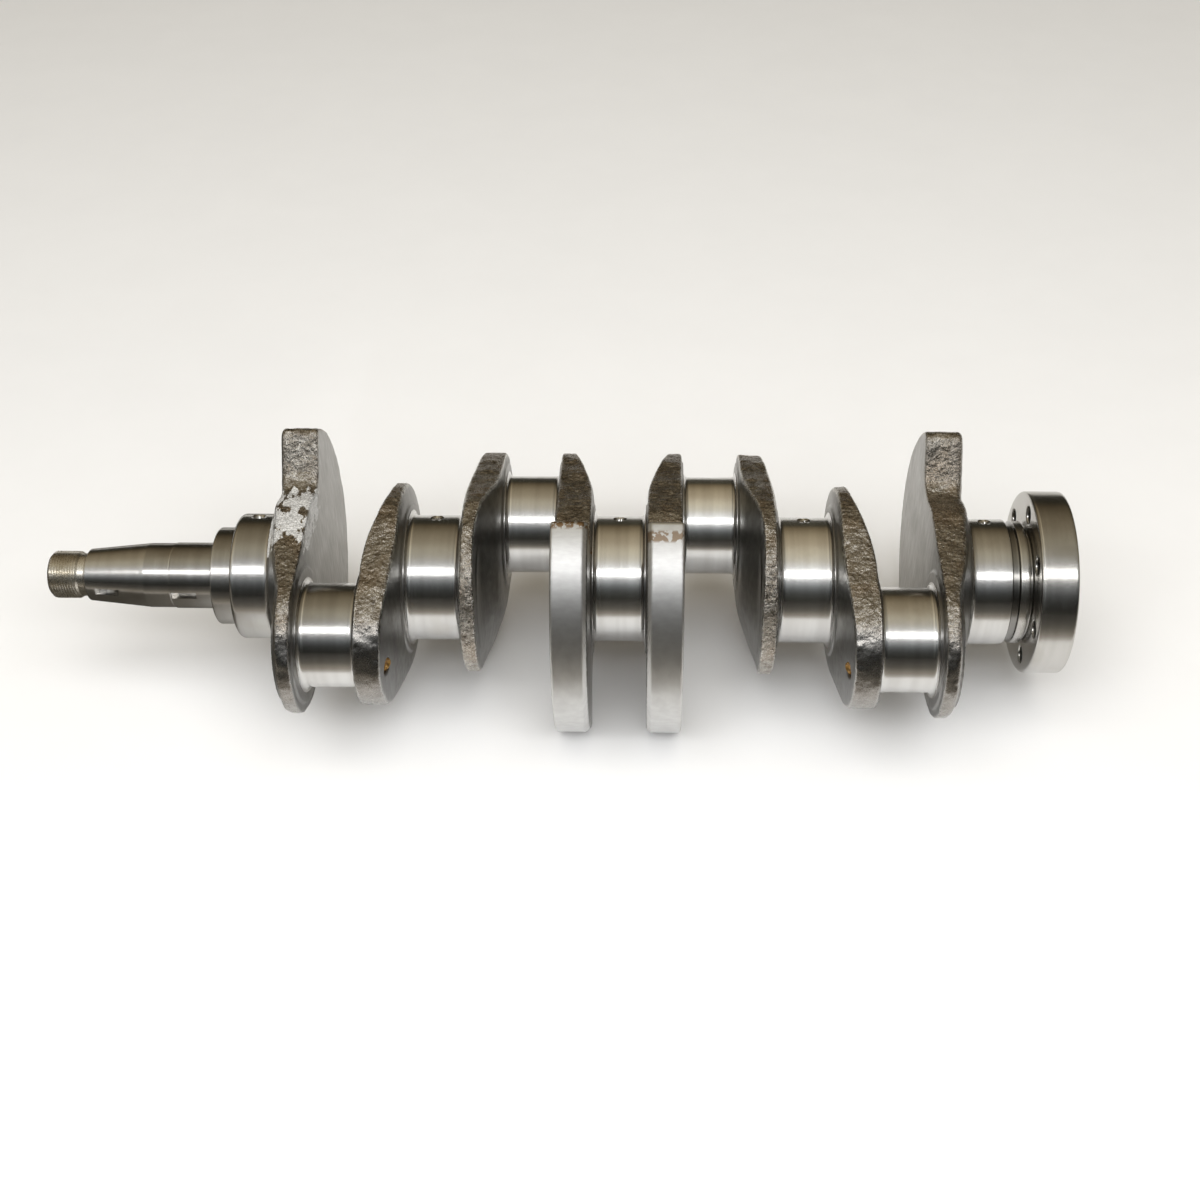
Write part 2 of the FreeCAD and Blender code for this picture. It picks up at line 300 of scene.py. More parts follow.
def ring_faces(rings, around):
    """Quads between rings of points that each go once around."""
    row = np.arange(rings - 1)[:, None] * around
    column = np.arange(around)[None, :]
    following = (column + 1) % around
    quads = np.stack(
        [row + column, row + following, row + around + following, row + around + column], -1
    )
    return quads.reshape(-1, 4)


def rounded_profile(corners):
    """(x, radius) points with an arc at each corner given as (x, radius, fillet)."""
    result = []
    for number, corner in enumerate(corners):
        here = np.array(corner[:2], float)
        fillet = corner[2] if len(corner) > 2 else 0
        if not fillet or number in (0, len(corners) - 1):
            result.append(tuple(here))
            continue
        back = np.array(corners[number - 1][:2], float) - here
        ahead = np.array(corners[number + 1][:2], float) - here
        back /= np.linalg.norm(back)
        ahead /= np.linalg.norm(ahead)
        half = math.acos(np.clip(back @ ahead, -1, 1)) / 2
        reach = fillet / math.tan(half)
        centre = here + (back + ahead) / np.linalg.norm(back + ahead) * fillet / math.sin(half)
        first = here + back * reach - centre
        last = here + ahead * reach - centre
        sweep = math.atan2(first[0] * last[1] - first[1] * last[0], first @ last)
        steps = max(4, int(abs(sweep) / math.radians(12)))
        for step in range(steps + 1):
            turn = sweep * step / steps
            cos, sin = math.cos(turn), math.sin(turn)
            result.append((
                centre[0] + first[0] * cos - first[1] * sin,
                centre[1] + first[0] * sin + first[1] * cos,
            ))
    return result


def filled_profile(profile, most):
    """Add points so that no stretch of the profile is longer than most."""
    result = [profile[0]]
    for (x0, r0), (x1, r1) in zip(profile, profile[1:]):
        steps = max(1, math.ceil(math.hypot(x1 - x0, r1 - r0) / most))
        for step in range(1, steps + 1):
            result.append((x0 + (x1 - x0) * step / steps, r0 + (r1 - r0) * step / steps))
    return result


def turned_grid(profile, around=192):
    """Rings of points around X for a profile, as an array of rings by angles by 3."""
    turn = np.arange(around) * 2 * math.pi / around
    x = np.array([p[0] for p in profile])[:, None]
    radius = np.array([p[1] for p in profile])[:, None]
    return np.stack(
        [x + 0 * turn, radius * np.cos(turn), radius * np.sin(turn)], -1
    )


def closed_turning(name, grid, y=0.0):
    """A closed mesh from rings whose first and last are shut by a point on the axis."""
    rings, around = grid.shape[:2]
    points = np.concatenate([grid.reshape(-1, 3), [grid[0].mean(0), grid[-1].mean(0)]])
    points = points + np.array([0, y, 0])
    faces = ring_faces(rings, around).tolist()
    first = rings * around
    last_row = first - around
    for column in range(around):
        following = (column + 1) % around
        faces.append([first, following, column])
        faces.append([first + 1, last_row + column, last_row + following])
    return mesh_object(name, points, faces)


def looped_turning(name, profile, around=128):
    """A ring-shaped mesh from a closed profile, turned once around X."""
    grid = turned_grid(profile + profile[:1], around)
    rings = len(profile)
    faces = ring_faces(rings + 1, around)
    faces = np.where(faces >= rings * around, faces - rings * around, faces)
    return mesh_object(name, grid[:rings].reshape(-1, 3), faces)


def drill_radially(grid, x, turn, radius, depth=7.0, countersink=0.9):
    """Sink an oil hole into a turned surface by moving its nearby points onto the hole."""
    size = np.hypot(grid[..., 1], grid[..., 2])
    angle = np.arctan2(grid[..., 2], grid[..., 1])
    turned_by = (angle - turn + math.pi) % (2 * math.pi) - math.pi
    away_x = grid[..., 0] - x
    away_s = turned_by * size
    away = np.hypot(away_x, away_s)
    mouth = radius + countersink
    spacing = 1.0
    for ring, drop in ((mouth, 0.0), (radius, countersink)):
        near = np.abs(away - ring) < spacing / 2
        scale = np.where(near, ring / np.maximum(away, 1e-6), 1)
        away_x = away_x * scale
        away_s = away_s * scale
        away = np.where(near, ring, away)
    sunk = np.where(away < radius - 1e-6, depth, 0)
    edge = (away >= radius - 1e-6) & (away < mouth)
    sunk = np.where(edge, mouth - away, sunk)
    outside = size > radius * 2
    new_size = size - np.where(outside, sunk, 0)
    new_angle = turn + away_s / np.maximum(size, 1e-6)
    changed = outside & (away <= mouth)
    grid[..., 0] = np.where(changed, x + away_x, grid[..., 0])
    grid[..., 1] = np.where(changed, new_size * np.cos(new_angle), grid[..., 1])
    grid[..., 2] = np.where(changed, new_size * np.sin(new_angle), grid[..., 2])
    return grid


# ---------- materials
class NodeTree:
    """Short ways to add nodes to the tree of a material or of the world."""

    def __init__(self, owner):
        owner.use_nodes = True
        self.nodes = owner.node_tree.nodes
        self.links = owner.node_tree.links

    def maths(self, kind, value, other=None, vector=None):
        """A maths node; with vector, a vector maths node."""
        node = self.nodes.new("ShaderNodeVectorMath" if vector else "ShaderNodeMath")
        node.operation = kind
        self.feed(node.inputs[0], value)
        if vector:
            node.inputs[1].default_value = vector
        elif other is not None:
            self.feed(node.inputs[1], other)
        return node.outputs[0]

    def feed(self, socket, value):
        """Link an output to a socket, or set the socket's own value."""
        if isinstance(value, bpy.types.NodeSocket):
            self.links.new(value, socket)
        else:
            socket.default_value = value

    def ramp(self, value, stops):
        """A colour ramp with (position, colour) stops."""
        node = self.nodes.new("ShaderNodeValToRGB")
        points = node.color_ramp.elements
        while len(points) < len(stops):
            points.new(0.5)
        for point, (position, colour) in zip(points, stops):
            point.position = position
            point.color = (*colour, 1)
        self.feed(node.inputs["Fac"], value)
        return node.outputs["Color"]

    def mix(self, share, first, second, blend="MIX"):
        """A colour mix of two colours or outputs."""
        node = self.nodes.new("ShaderNodeMix")
        node.data_type = "RGBA"
        node.blend_type = blend
        self.feed(node.inputs["Factor"], share)
        for socket, colour in ((node.inputs[6], first), (node.inputs[7], second)):
            if isinstance(colour, tuple):
                colour = (*colour, 1)
            self.feed(socket, colour)
        return node.outputs[2]

    def span(self, value, low, high, to_low=0.0, to_high=1.0):
        """A clamped, straight remapping of a value."""
        node = self.nodes.new("ShaderNodeMapRange")
        self.feed(node.inputs["Value"], value)
        for name, number in (
            ("From Min", low), ("From Max", high), ("To Min", to_low), ("To Max", to_high)
        ):
            node.inputs[name].default_value = number
        return node.outputs["Result"]


class Shader(NodeTree):
    """A Principled material; places and depths are in millimetres."""

    def __init__(self, name, metallic=1.0):
        self.material = bpy.data.materials.new(name)
        super().__init__(self.material)
        self.surface = self.nodes["Principled BSDF"]
        self.surface.inputs["Metallic"].default_value = metallic
        place = self.nodes.new("ShaderNodeTexCoord").outputs["Object"]
        self.place = self.maths("MULTIPLY", place, vector=(1000, 1000, 1000))

    def noise(self, scale, detail=2.0, stretch=(1, 1, 1), place=None, rough=0.5):
        """Fractal noise; scale is in lumps per millimetre."""
        moved = self.maths("MULTIPLY", place or self.place, vector=stretch)
        node = self.nodes.new("ShaderNodeTexNoise")
        node.inputs["Scale"].default_value = scale
        node.inputs["Detail"].default_value = detail
        node.inputs["Roughness"].default_value = rough
        self.links.new(moved, node.inputs["Vector"])
        return node.outputs["Fac"]

    def kept(self, name):
        """A number that was stored on the mesh."""
        node = self.nodes.new("ShaderNodeAttribute")
        node.attribute_name = name
        return node.outputs["Fac"]

    def axis(self, letter):
        """One coordinate, in millimetres."""
        node = self.nodes.new("ShaderNodeSeparateXYZ")
        self.links.new(self.place, node.inputs[0])
        return node.outputs[letter]

    def ring_place(self):
        """Coordinates that only change with distance from the main axis."""
        flat = self.maths("MULTIPLY", self.place, vector=(0, 1, 1))
        length = self.nodes.new("ShaderNodeVectorMath")
        length.operation = "LENGTH"
        self.links.new(flat, length.inputs[0])
        place = self.nodes.new("ShaderNodeCombineXYZ")
        self.links.new(length.outputs["Value"], place.inputs[1])
        return place.outputs[0]

    def bump(self, height, depth, under=None):
        """A bump of a depth in millimetres."""
        node = self.nodes.new("ShaderNodeBump")
        node.inputs["Strength"].default_value = 1.0
        node.inputs["Distance"].default_value = depth * MM
        self.feed(node.inputs["Height"], height)
        if under:
            self.links.new(under, node.inputs["Normal"])
        return node.outputs["Normal"]

    def finish(self, colour, roughness, normal=None):
        """Feed the surface and return the material."""
        self.feed(self.surface.inputs["Base Color"], colour)
        self.feed(self.surface.inputs["Roughness"], roughness)
        if normal is not None:
            self.feed(self.surface.inputs["Normal"], normal)
        return self.material


def ground_steel():
    """Ground journals: fine marks around the axis, speckle, faint stains and nicks."""
    make = Shader("ground_steel")
    marks = make.noise(2.2, 3.0, (4.0, 0.02, 0.02))
    bands = make.noise(0.16, 2.0, (1.0, 0.05, 0.05))
    speckle = make.noise(1.5, 4.0, rough=0.7)
    cloud = make.noise(0.05, 4.0)
    nick = make.noise(0.55, 3.0, rough=0.7)
    colour = make.mix(make.span(bands, 0.35, 0.65), (0.57, 0.56, 0.545), (0.66, 0.655, 0.64))
    colour = make.mix(make.span(cloud, 0.55, 0.75, 0, 0.35), colour, (0.46, 0.43, 0.38))
    colour = make.mix(make.span(nick, 0.75, 0.77), colour, (0.16, 0.12, 0.09))
    roughness = make.span(marks, 0.3, 0.7, 0.13, 0.22)
    normal = make.bump(marks, 0.004)
    normal = make.bump(speckle, 0.022, normal)
    return make.finish(colour, roughness, normal)


def turned_steel():
    """Fine-turned seats, collar and flange: rings around the axis and light stains."""
    make = Shader("turned_steel")
    marks = make.noise(2.6, 3.0, (3.0, 0.03, 0.03))
    bands = make.noise(0.22, 3.0, (1.0, 0.03, 0.03))
    speckle = make.noise(1.6, 4.0, rough=0.65)
    cloud = make.noise(0.045, 4.0)
    colour = make.mix(make.span(cloud, 0.42, 0.7), (0.56, 0.55, 0.53), (0.45, 0.43, 0.395))
    colour = make.mix(make.span(bands, 0.4, 0.6, 0, 0.5), colour, (0.46, 0.445, 0.42))
    nick = make.noise(0.5, 3.0, rough=0.7)
    colour = make.mix(make.span(nick, 0.745, 0.765), colour, (0.2, 0.13, 0.09))
    # Painted shade: the groove attribute darkens the seal land's oil groove and, more faintly, the
    # neck before the flange.
    colour = make.mix(make.kept("groove"), colour, (0.17, 0.165, 0.155))
    roughness = make.span(speckle, 0.3, 0.7, 0.15, 0.25)
    normal = make.bump(marks, 0.007)
    normal = make.bump(speckle, 0.012, normal)
    return make.finish(colour, roughness, normal)


def threaded_steel():
    """The nose thread: a little oily, with brown patches here and there."""
    make = Shader("threaded_steel")
    cloud = make.noise(0.12, 4.0)
    speckle = make.noise(1.4, 3.0)
    colour = make.mix(make.span(cloud, 0.35, 0.65), (0.80, 0.77, 0.71), (0.62, 0.575, 0.49))
    roughness = make.span(speckle, 0.3, 0.7, 0.24, 0.34)
    return make.finish(colour, roughness, make.bump(speckle, 0.003))


def web_steel():
    """Forged skin where the mesh says so, turned cheeks and pads elsewhere."""
    make = Shader("web_steel")
    turned = make.kept("turned")
    ground = make.kept("ground")
    grain = make.noise(0.95, 5.0, rough=0.68)
    lumps = make.noise(0.2, 3.0)
    streaks = make.noise(0.7, 3.0, (0.25, 1.0, 0.12))
    rings = make.noise(1.3, 2.0, (0, 1, 1), make.ring_place())
    cloud = make.noise(0.05, 4.0)
    forged = make.mix(make.span(lumps, 0.32, 0.66), (0.25, 0.218, 0.18), (0.52, 0.49, 0.445))
    forged = make.mix(make.span(cloud, 0.5, 0.62, 0, 0.55), forged, (0.36, 0.29, 0.22))
    forged = make.mix(make.span(grain, 0.36, 0.48, 0.4, 0), forged, (0.10, 0.08, 0.06))
    # Bright specks in the forged skin's colour are painted glints.
    forged = make.mix(make.span(grain, 0.57, 0.68, 0, 0.7), forged, (0.88, 0.85, 0.80))
    # Painted light and shade on the turned cheeks and pads: light is the lit copy of their colour,
    # dark the shaded copy, and the lit share stored on the mesh picks between them.
    light = make.mix(make.span(cloud, 0.35, 0.65), (0.43, 0.425, 0.41), (0.34, 0.33, 0.315))
    sawn = make.mix(make.span(streaks, 0.35, 0.65), (0.63, 0.63, 0.62), (0.57, 0.565, 0.56))
    dark = make.mix(make.span(lumps, 0.35, 0.65), (0.17, 0.165, 0.155), (0.27, 0.265, 0.25))
    smooth = make.mix(make.kept("painted_lit_share"), dark, light)
    smooth = make.mix(make.span(streaks, 0.35, 0.65, 0, 0.35), smooth, (0.24, 0.23, 0.215))
    smooth = make.mix(make.kept("rim"), smooth, sawn)
    colour = make.mix(turned, forged, smooth)
    # A painted highlight along the line where a turned cheek meets the forged skin.
    painted_edge_highlight = make.maths("MULTIPLY", make.kept("edge"), make.span(grain, 0.40, 0.52))
    colour = make.mix(painted_edge_highlight, colour, (0.78, 0.76, 0.72))
    # The ground share marks a smooth patch on each pin end, with less bump; its darker grey is
    # painted shade.
    colour = make.mix(make.maths("MULTIPLY", ground, 0.7), colour, (0.27, 0.265, 0.26))
    stain = make.span(make.noise(0.35, 4.0), 0.44, 0.50)
    stain = make.maths("MULTIPLY", make.kept("residue"), stain)
    colour = make.mix(stain, colour, (0.24, 0.155, 0.085))
    flaky = make.noise(0.16, 6.0, (1.2, 0.7, 1), rough=0.62)
    flakes = make.maths("ADD", make.kept("paint"), make.span(flaky, 0.3, 0.7, -0.75, 0.75))
    flakes = make.span(flakes, 0.50, 0.56)
    flakes = make.maths("MULTIPLY", flakes, make.span(make.kept("paint"), 0.02, 0.12))
    chalk = make.mix(make.span(grain, 0.42, 0.6), (0.50, 0.50, 0.49), (0.86, 0.86, 0.85))
    colour = make.mix(flakes, colour, chalk)
    rough_forged = make.span(grain, 0.3, 0.7, 0.20, 0.34)
    rough_turned = make.span(streaks, 0.3, 0.7, 0.30, 0.44)
    share = make.mix(turned, rough_forged, rough_turned)
    off_rim = make.maths("SUBTRACT", 1.0, make.kept("rim"))
    share = make.maths("MULTIPLY", share, off_rim)
    share = make.maths("ADD", share, make.maths("MULTIPLY", make.kept("rim"), 0.42))
    plain = make.maths("SUBTRACT", 1.0, make.maths("MULTIPLY", ground, 0.85))
    bare = make.maths("MULTIPLY", make.maths("SUBTRACT", 1.0, turned), plain)
    pits = make.noise(0.42, 3.0)
    normal = make.bump(make.maths("MULTIPLY", pits, bare), 1.15)
    normal = make.bump(make.maths("MULTIPLY", grain, bare), 0.36, normal)
    normal = make.bump(make.maths("MULTIPLY", rings, turned), 0.03, normal)
    metal = make.maths("SUBTRACT", 1.0, make.maths("MULTIPLY", flakes, 0.6))
    make.feed(make.surface.inputs["Metallic"], metal)
    return make.finish(colour, share, normal)


def plug_brass():
    """Staked gallery plugs, golden brown."""
    make = Shader("plug_brass", metallic=0.9)
    cloud = make.noise(0.6, 4.0)
    colour = make.mix(make.span(cloud, 0.35, 0.65), (0.50, 0.29, 0.09), (0.16, 0.09, 0.04))
    return make.finish(colour, make.span(cloud, 0.3, 0.7, 0.25, 0.5), make.bump(cloud, 0.3))


def bearing_steel(name, colour, rough):
    """Bearing rings, balls, cage and shields: clean steel with faint marks around X."""
    make = Shader(name)
    marks = make.noise(3.0, 3.0, (3.0, 0.08, 0.08))
    darker = tuple(c * 0.86 for c in colour)
    mixed = make.mix(make.span(marks, 0.35, 0.65), colour, darker)
    roughness = make.span(marks, 0.3, 0.7, rough, rough * 1.6)
    return make.finish(mixed, roughness, make.bump(marks, 0.002))


GROUND = ground_steel()
TURNED = turned_steel()
THREADED = threaded_steel()
WEB = web_steel()
BRASS = plug_brass()
RACE = bearing_steel("bearing_race_steel", (0.66, 0.66, 0.67), 0.14)
CAGE = bearing_steel("bearing_cage_steel", (0.50, 0.49, 0.47), 0.28)
SHIELD = bearing_steel("bearing_shield_steel", (0.56, 0.56, 0.56), 0.24)


# ---------- webs
def web_shape(number):
    """The driving sizes of one web."""
    pin = number // 2 + 1
    rearward = number % 2 == 0
    main = pin if rearward else pin + 1
    side = 1 if rearward else -1
    main_low, main_high = span(f"main_journal_{main}")
    pin_low, pin_high = span(f"crankpin_{pin}")
    main_face = main_high if rearward else main_low
    pin_face = pin_low if rearward else pin_high
    fan, bevel = 0, PLAIN_MAIN_BEVEL
    if number in (0, 7):
        fan, bevel = END_FAN_RADIUS, END_BEVEL
    elif number in (3, 4):
        fan, bevel = CENTRE_FAN_RADIUS, CENTRE_BEVEL
    return {
        "number": number,
        "main_face": main_face,
        "side": side,
        "width": abs(pin_face - main_face),
        "pin_sign": 1 if middle(f"crankpin_{pin}", 1) > 0 else -1,
        "end_radius": SLIM_PIN_END_RADIUS if number in (1, 6) else PIN_END_RADIUS,
        "fan": fan,
        "machined_rim": number in (3, 4),
        "bevel": bevel,
        "plugged": number in (1, 3, 4, 6),
    }


def web_parts(shape, s, t, z):
    """The distances that make a web: outline, both cheeks and both pads."""
    far = np.hypot(t, z)
    from_pin = np.hypot(t - THROW, z)
    seed = shape["number"]
    uneven = 0.75 * smooth_noise(s, t, z, 11.0, seed)
    uneven = uneven + 0.40 * smooth_noise(s, t, z, 4.6, seed + 9)
    uneven = uneven + 0.14 * smooth_noise(s, t, z, 2.1, seed + 21)
    if shape["fan"]:
        hull = hull_distance(t, z, COUNTERWEIGHT_WEB_RADIUS, shape["end_radius"])
        corner = 2.0 if shape["machined_rim"] else 7.0
        fan = fan_distance(t, z, shape["fan"], corner)
        outline = smooth_min(hull, fan, 14.0)
        flush = 0 if shape["machined_rim"] else 1
        low = PAD_HEIGHT * (1 - flush * blend_step(-20, -30, t))
        low = low + cone_fall(far, shape["bevel"]) * blend_step(-4, 10, t)
        high = shape["width"] - PAD_HEIGHT + 0 * t
    else:
        outline = hull_distance(t, z, PLAIN_WEB_RADIUS, shape["end_radius"])
        draft = DRAFT * np.maximum(np.abs(z) - 16, 0)
        low = PAD_HEIGHT + cone_fall(far, PLAIN_MAIN_BEVEL)
        low = low + draft * blend_step(46, 58, far)
        high = shape["width"] - PAD_HEIGHT - cone_fall(from_pin, PLAIN_PIN_BEVEL)
        high = high - draft * blend_step(40, 54, from_pin)
    if shape["machined_rim"]:
        near_rim = np.abs(far - shape["fan"]) < 8
        uneven = np.where(near_rim & (t < -20), 0, uneven)
    return outline + uneven, low - s, s - high, far, from_pin


def web_field(shape):
    """The distance field of a web in its own frame: s from the main side, t to the pin."""
    width = shape["width"]
    bevel = shape["bevel"]
    mouth = PAD_HEIGHT + bevel[1] * (PLUG_THROW - bevel[0])

    def field(s, t, z):
        outline, low, high, far, from_pin = web_parts(shape, s, t, z)
        forged_edge = 1.2 if shape["machined_rim"] else 3.8 if shape["fan"] else 2.0
        body = smooth_max(outline, low, forged_edge)
        body = smooth_max(body, high, 1.6)
        if shape["machined_rim"]:
            rim_bevel = (far - shape["fan"] + RIM_BEVEL + low) / math.sqrt(2)
            body = np.where(t < 0, np.maximum(body, rim_bevel), body)
        main_pad = np.maximum(far - MAIN_PAD_RADIUS, np.maximum(-s, s - width / 2))
        pin_pad = np.maximum(from_pin - PIN_PAD_RADIUS, np.maximum(s - width, width / 2 - s))
        body = smooth_min(body, main_pad, 1.6)
        body = smooth_min(body, pin_pad, 1.6)
        body = np.maximum(body, np.maximum(-s, s - width))
        if shape["plugged"]:
            lean = 0.78 if shape["number"] in (1, 6) else 0.72
            off = (t - PLUG_THROW) * lean + (s - mouth) * 0.62
            hole = np.hypot(off, z) - PLUG_HOLE_RADIUS
            hole = np.maximum(hole, np.maximum(s - mouth - 5.0, 40 - t))
            body = smooth_max(body, -hole, 0.8)
        return body

    return field


def web_masks(shape, points):
    """Where a web is turned, lit or shaded by painted light, ground smooth, or given a painted
    edge highlight, for its material.
    """
    s, t, z = points.T
    outline, low, high, far, from_pin = web_parts(shape, s, t, z)
    past_edge = np.maximum(low, high) - outline
    ragged = 0.5 * smooth_noise(s, t, z, 2.4, 77) + 0.35 * smooth_noise(s, t, z, 6.0, 78)
    turned_edge = past_edge if shape["fan"] else past_edge + ragged
    turned = blend_step(-0.2, 1.2, turned_edge)
    on_pad = (s < PAD_HEIGHT * 0.9) | (s > shape["width"] - PAD_HEIGHT * 0.9)
    turned = np.maximum(turned, on_pad)
    # The edge share is where the painted edge highlight goes, along the line where turned cheek
    # meets forged skin.
    edge = blend_step(1.5, 0.6, np.abs(past_edge + ragged - 0.4)) * ~on_pad
    rim = (np.abs(far - shape["fan"]) < 2.2) & (t < -20) & shape["machined_rim"]
    turned = np.maximum(turned, rim)
    # The lit share is painted light and shade: lit towards the main journal and any counterweight,
    # shaded towards the pin, and always lit on the pads.
    if shape["fan"]:
        painted_lit_share = blend_step(30, 10, t)
        edge = 0.25 * edge
    else:
        painted_lit_share = 0.9 * blend_step(58, 53, far) * blend_step(30, 5, t) * (low > high)
        painted_lit_share = np.maximum(painted_lit_share, 0.35 * blend_step(10, -30, t) * (high >= low))
    painted_lit_share = np.maximum(painted_lit_share, on_pad)
    # A smooth patch on the pin end, which the material darkens with painted shade.
    ground = blend_step(THROW + 10, THROW + 19, t) * blend_step(16, 4, np.abs(z + 8) - 26)
    return {
        "turned": np.clip(turned, 0, 1), "painted_lit_share": painted_lit_share, "ground": ground, "edge": edge,
        "rim": 1.0 * rim,
    }


def web_to_row(shape, points):
    """Points of a web's own frame, in the row frame."""
    s, t, z = points.T
    x = shape["main_face"] + shape["side"] * s
    return np.stack([x, shape["pin_sign"] * t, z], 1)


def build_web(number):
    """One forged web with its pads, bevels and, where it has one, its counterweight."""
    shape = web_shape(number)
    reach = shape["fan"] or PLAIN_WEB_RADIUS
    low = (-1.5, -reach - 2.5, -reach - 2.5)
    high = (shape["width"] + 1.5, THROW + shape["end_radius"] + 2.5, reach + 2.5)
    points, quads = surface_nets(web_field(shape), low, high, NET_STEP)
    if shape["side"] * shape["pin_sign"] < 0:
        quads = quads[:, ::-1]
    node = f"web_{number + 1}"
    row = web_to_row(shape, points)
    piece = mesh_object(f"forged_{node}", row, quads, 60)
    for name, values in web_masks(shape, points).items():
        store(piece, name, values)
    store(piece, "residue", residue_mask(shape, row))
    store(piece, "paint", paint_mask(shape, row))
    stand_for(piece, node, WEB)


def residue_mask(shape, row):
    """Brown residue near the upper end of the two machined rims."""
    x, y, z = row.T
    up = np.degrees(np.arctan2(z, -y))
    if shape["number"] == 3:
        return blend_step(55.5, 57, up) * (y < -20)
    if shape["number"] == 4:
        return 0.8 * blend_step(51, 52, up) * blend_step(56, 55, up) * (y < -20)
    return 0 * x


def paint_mask(shape, row):
    """A scraped white patch on the shoulder of the first web."""
    x, y, z = row.T
    if shape["number"] != 0:
        return 0 * x
    along = 1 - ((y + 2) / 30) ** 2
    gap = 0.55 * blend_step(6, 1, np.abs(y + 1 + 0.25 * (x - shape["main_face"] - 10)))
    return np.clip(along - gap, 0, 1) * blend_step(28, 36, z)


for web_number in range(8):
    build_web(web_number)


# ---------- journals
def build_journal(node, radius, hole_angle, y=0.0, front_web=True, rear_web=True):
    """A ground journal with its oil hole, and a fillet at each end that meets a web."""
    start, end = span(node)
    lip = 3.0
    profile = [(start, 0)]
    if front_web:
        profile += [(start, radius + lip), (start + 0.3, radius + lip), (start + 0.3, radius, 2.7)]
    else:
        profile += [(start, radius, 2.6)]
    if rear_web:
        profile += [(end - 0.3, radius, 2.7), (end - 0.3, radius + lip), (end, radius + lip)]
    else:
        profile += [(end, radius, 0.4)]
    profile.append((end, 0))
    profile = rounded_profile(profile)
    profile = filled_profile(profile[1:-1], 0.9)
    grid = turned_grid(profile, 288)
    grid = drill_radially(grid, (start + end) / 2, math.radians(hole_angle), 3.0)
    piece = closed_turning(f"ground_{node}", grid, y)
    stand_for(piece, node, GROUND)


# Directions of the oil holes in the journals, in degrees from +Y towards +Z
MAIN_FEED = 70
PIN_FEED = 52
for main_number in range(5):
    build_journal(
        f"main_journal_{main_number + 1}", MAIN_RADIUS, MAIN_FEED,
        front_web=main_number > 0, rear_web=main_number < 4,
    )
for pin_number in range(4):
    pin_node = f"crankpin_{pin_number + 1}"
    pin_y = middle(pin_node, 1)
    build_journal(pin_node, PIN_RADIUS, PIN_FEED if pin_y > 0 else PIN_FEED + 180, pin_y)


# ---------- nose
def build_thread():
    """The nose thread with its turns, lead-in chamfer and relief groove."""
    pitch, depth = 1.5, 0.95
    relief, relief_length = 12.2, 3.5
    lead_in = 11.6
    outer = radius_of("nose_thread")
    start, end = span("nose_thread")
    relief_start = end - relief_length
    around = 160
    turn = np.arange(around) * 2 * math.pi / around
    x = np.arange(start, end + 0.01, 0.1)[:, None] + 0 * turn
    phase = (x / pitch - turn / (2 * math.pi)) % 1.0
    tooth = np.clip(np.abs(phase * 2 - 1) * 1.3 - 0.12, 0, 1)
    radius = outer - depth * tooth
    radius = np.minimum(radius, lead_in + (x - start))
    runout = relief + np.maximum(relief_start - x, 0) * 0.9
    radius = np.minimum(radius, runout)
    grid = np.stack([x, radius * np.cos(turn), radius * np.sin(turn)], -1)
    bore = turned_grid([(start + 4.2, 0.4), (start, 4.0), (start, 7.5), (start, 11.0)], around)
    piece = closed_turning("threaded_nose", np.concatenate([bore, grid]))
    stand_for(piece, "nose_thread", THREADED)


def keyed_grid(profile, floor_depth, half_width, around=160):
    """Rings with a key seat sunk towards -Y, its walls square to the seat's floor."""
    rings = []
    for x, radius in profile:
        edge = math.asin(min(0.95, half_width / max(radius, half_width * 1.1)))
        inner = edge * 0.985
        seat = np.linspace(-inner, inner, 9)
        rest = np.linspace(edge, 2 * math.pi - edge, around - 9)
        angles = np.concatenate([seat, rest])
        y = -radius * np.cos(angles)
        z = -radius * np.sin(angles)
        floor = floor_depth(x)
        if floor > 0:
            lowest = -(radius - floor)
            y[:9] = np.maximum(y[:9], lowest)
        rings.append(np.stack([np.full(len(y), x), y, z], -1))
    return np.array(rings)


def build_taper():
    """The tapered hub seat with its woodruff key seat, and the plain stretch behind it."""
    start, end = span("nose_taper")
    taper_start = start + 1.6
    taper_end = taper_start + 32.0
    small, large, plain = 14.75, 18.0, 18.3
    cutter, depth, seat_x = 9.5, 3.1, taper_start + 11.5

    def floor(x):
        if abs(x - seat_x) >= cutter:
            return 0
        slope = (large - small) / (taper_end - taper_start)
        drop = math.sqrt(cutter ** 2 - (x - seat_x) ** 2) - (cutter - depth)
        return drop + (x - seat_x) * slope

    profile = rounded_profile([
        (start, 12.2), (taper_start, small, 0.4), (taper_end, large, 2.0),
        (taper_end + 2.4, plain, 2.0), (end - 0.5, plain), (end, plain - 0.25),
    ])
    grid = keyed_grid(filled_profile(profile, 0.6), floor, 2.0)
    stand_for(closed_turning("turned_nose_taper", grid), "nose_taper", TURNED)


def build_gear_seat():
    """The timing gear's seat with its square-ended key seat."""
    start, end = span("gear_seat")
    radius = radius_of("gear_seat")
    key_end = start + 14.5

    def floor(x):
        if x > key_end + 0.01:
            return 0
        return 3.4 * min(1.0, 0.25 + (x - start) / 5)

    keyed = [(start, radius - 0.3), (start + 0.3, radius), (key_end, radius)]
    unkeyed = [(key_end + 0.03, radius), (end - 0.6, radius), (end, radius + 0.5)]
    profile = filled_profile(keyed, 0.6) + filled_profile(unkeyed, 0.6)
    grid = keyed_grid(profile, floor, 2.0)
    stand_for(closed_turning("turned_gear_seat", grid), "gear_seat", TURNED)


